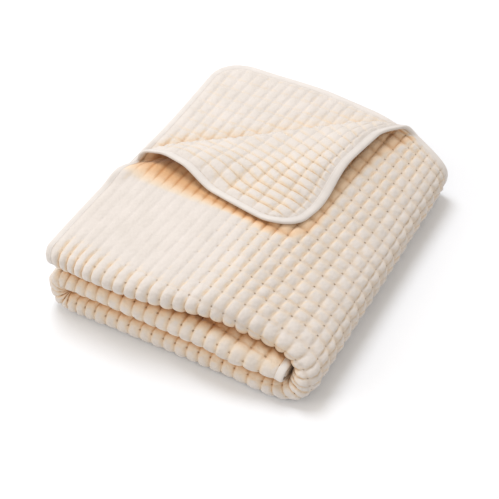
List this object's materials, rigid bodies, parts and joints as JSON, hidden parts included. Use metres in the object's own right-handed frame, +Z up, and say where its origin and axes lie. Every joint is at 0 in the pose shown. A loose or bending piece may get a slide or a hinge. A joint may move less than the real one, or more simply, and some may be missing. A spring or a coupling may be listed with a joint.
{
  "type": "heated throw",
  "caption": "Quilted cream plush throw with a smooth sewn-on binding, folded into a soft bundle with its top corner turned back.",
  "frame": {"origin": "middle of the bundle's footprint, on the surface that it rests on", "axes": "+X across the bundle towards its rounded side, -Y towards the front with the three folds, +Z up"},
  "size_m": [0.4074, 0.4834, 0.1309],
  "materials": {
    "quilted_plush": "soft cream plush with raised rectangular quilting",
    "binding": "smooth cream binding, sewn on"
  },
  "bodies": {
    "root": {"cloth_panel": "quilted_plush", "edge_binding": "binding"}
  },
  "joints": []
}
